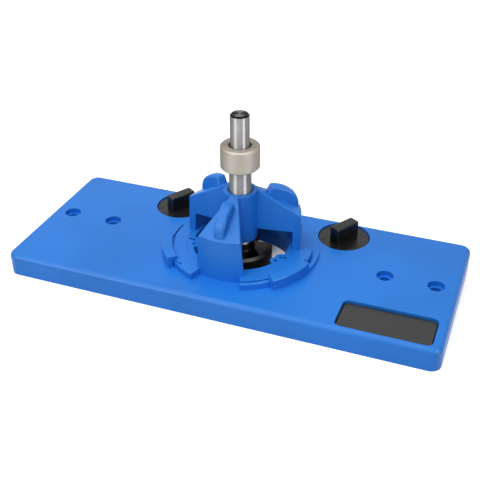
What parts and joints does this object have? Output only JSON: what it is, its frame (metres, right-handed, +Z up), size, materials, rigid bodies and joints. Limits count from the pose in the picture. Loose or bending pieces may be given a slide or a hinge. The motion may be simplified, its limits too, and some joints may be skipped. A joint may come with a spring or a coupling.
{
  "type": "hinge drilling jig",
  "caption": "Flat moulded jig with a twist-in drill guide, a boring bit with a depth collar, and edge cams that set the distance of a concealed hinge cup from a door's edge.",
  "frame": {"origin": "centre of the hinge cup on the door's face, which is the plate's underside", "axes": "+X along the plate and the door's edge, +Y towards the edge cams and the door's edge, +Z up out of the door along the boring bit"},
  "size_m": [0.2258, 0.0922, 0.0934],
  "materials": {
    "blue_plastic": "moulded satin",
    "dark_panel": "satin film",
    "tool_steel": "ground shank, black head",
    "carbide": "ground",
    "nickel_steel": "satin nickel",
    "black_steel": "black oxide",
    "black_plastic": "moulded satin",
    "zinc_steel": "zinc plated"
  },
  "bodies": {
    "base": {"base_plate": "blue_plastic", "badge_panel": "dark_panel"},
    "guide": {"drill_guide": "blue_plastic"},
    "collar": {"depth_collar": "nickel_steel"},
    "set_screw": {"collar_set_screw": "black_steel"},
    "bit": {"boring_bit": "tool_steel", "carbide_cutters": "carbide", "scoring_spurs": "carbide"},
    "left_dial": {"cam_knob_left": "black_plastic", "edge_cam_left": "black_plastic", "spring_washer_left": "zinc_steel", "cam_screw_left": "zinc_steel"},
    "right_dial": {"cam_knob_right": "black_plastic", "edge_cam_right": "black_plastic", "spring_washer_right": "zinc_steel", "cam_screw_right": "zinc_steel"}
  },
  "joints": [
    {"name": "guide_turn", "type": "hinge", "parent": "base", "child": "guide", "pos_m": [0, 0, 0], "axis": [0, 0, 1], "range_deg": [0, 60]},
    {"name": "bit_plunge", "type": "slide", "parent": "guide", "child": "collar", "axis": [0, 0, 1], "range_m": [-0.0122, 0.0012]},
    {"name": "bit_spin", "type": "hinge", "parent": "collar", "child": "bit", "pos_m": [0, 0, 0], "axis": [0, 0, 1], "continuous": true},
    {"name": "set_screw_turn", "type": "hinge", "parent": "collar", "child": "set_screw", "pos_m": [-0.00281, 0.00695, 0.0647], "axis": [-0.3746, 0.9272, 0], "range_deg": [0, 360]},
    {"name": "left_dial_turn", "type": "hinge", "parent": "base", "child": "left_dial", "pos_m": [-0.04759, 0.02948, 0], "axis": [0, 0, 1], "continuous": true},
    {"name": "right_dial_turn", "type": "hinge", "parent": "base", "child": "right_dial", "pos_m": [0.04759, 0.02948, 0], "axis": [0, 0, 1], "continuous": true}
  ]
}
